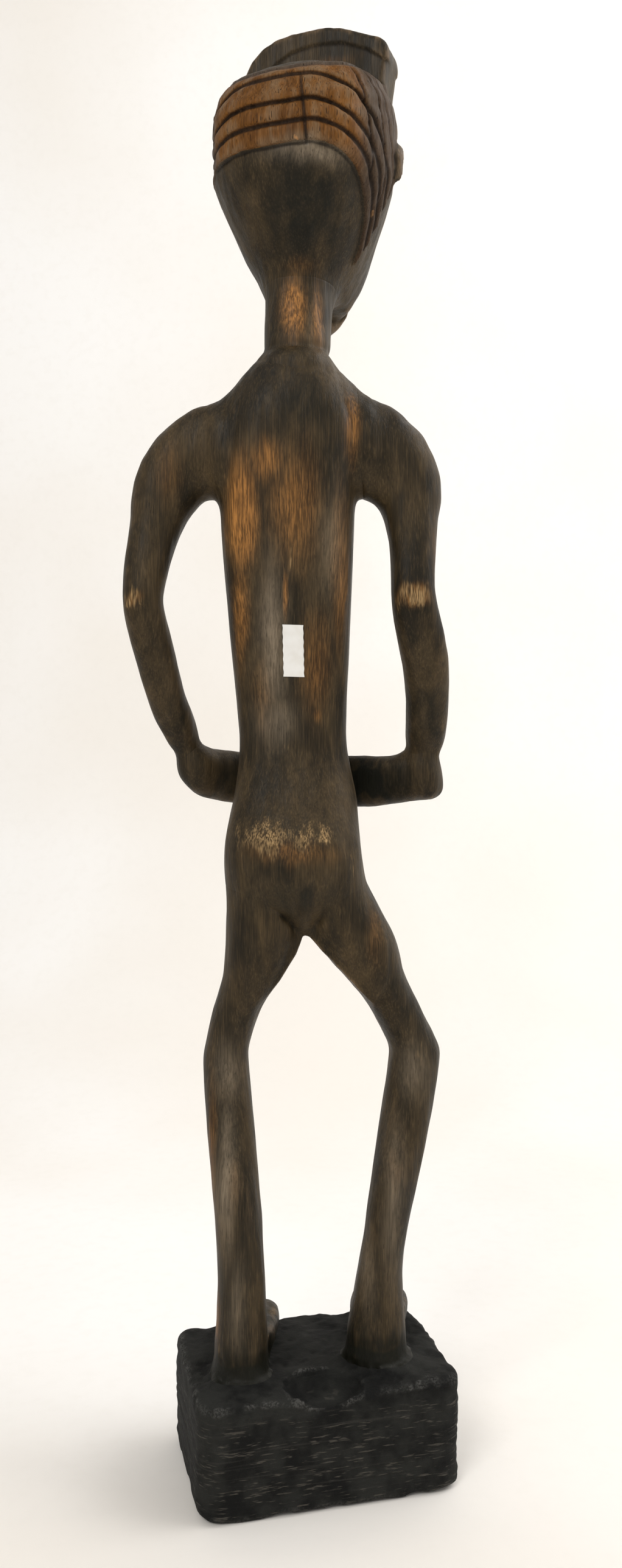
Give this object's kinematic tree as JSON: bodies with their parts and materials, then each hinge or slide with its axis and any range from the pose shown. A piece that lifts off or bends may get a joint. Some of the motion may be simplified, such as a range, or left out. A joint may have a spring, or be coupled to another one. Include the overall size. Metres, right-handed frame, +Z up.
{
  "type": "carved ancestor figure",
  "caption": "Slim standing wooden figure with bowed arms, hands on its belly and banded hair, on a rough black block.",
  "frame": {"origin": "middle of the block's flat underside", "axes": "+Z up along the figure; the block's long side lies along X and the figure faces -Y, turned a little, with its own left towards +X"},
  "size_m": [0.1659, 0.1014, 0.7304],
  "materials": {
    "stained_wood": "dark brown stain, satin, worn pale on raised places",
    "worn_hair": "brown stain rubbed to orange brown, satin",
    "black_block": "matt black, rough sawn",
    "label_paper": "matt paper"
  },
  "bodies": {
    "root": {"base_block": "black_block", "left_foot": "stained_wood", "right_foot": "stained_wood", "left_leg": "stained_wood", "right_leg": "stained_wood", "torso": "stained_wood", "left_arm": "stained_wood", "right_arm": "stained_wood", "left_hand": "stained_wood", "right_hand": "stained_wood", "neck": "stained_wood", "head": "stained_wood", "hair_band": "worn_hair", "crest": "stained_wood", "left_ear": "stained_wood", "right_ear": "stained_wood", "beard": "stained_wood", "price_label": "label_paper"}
  },
  "joints": []
}
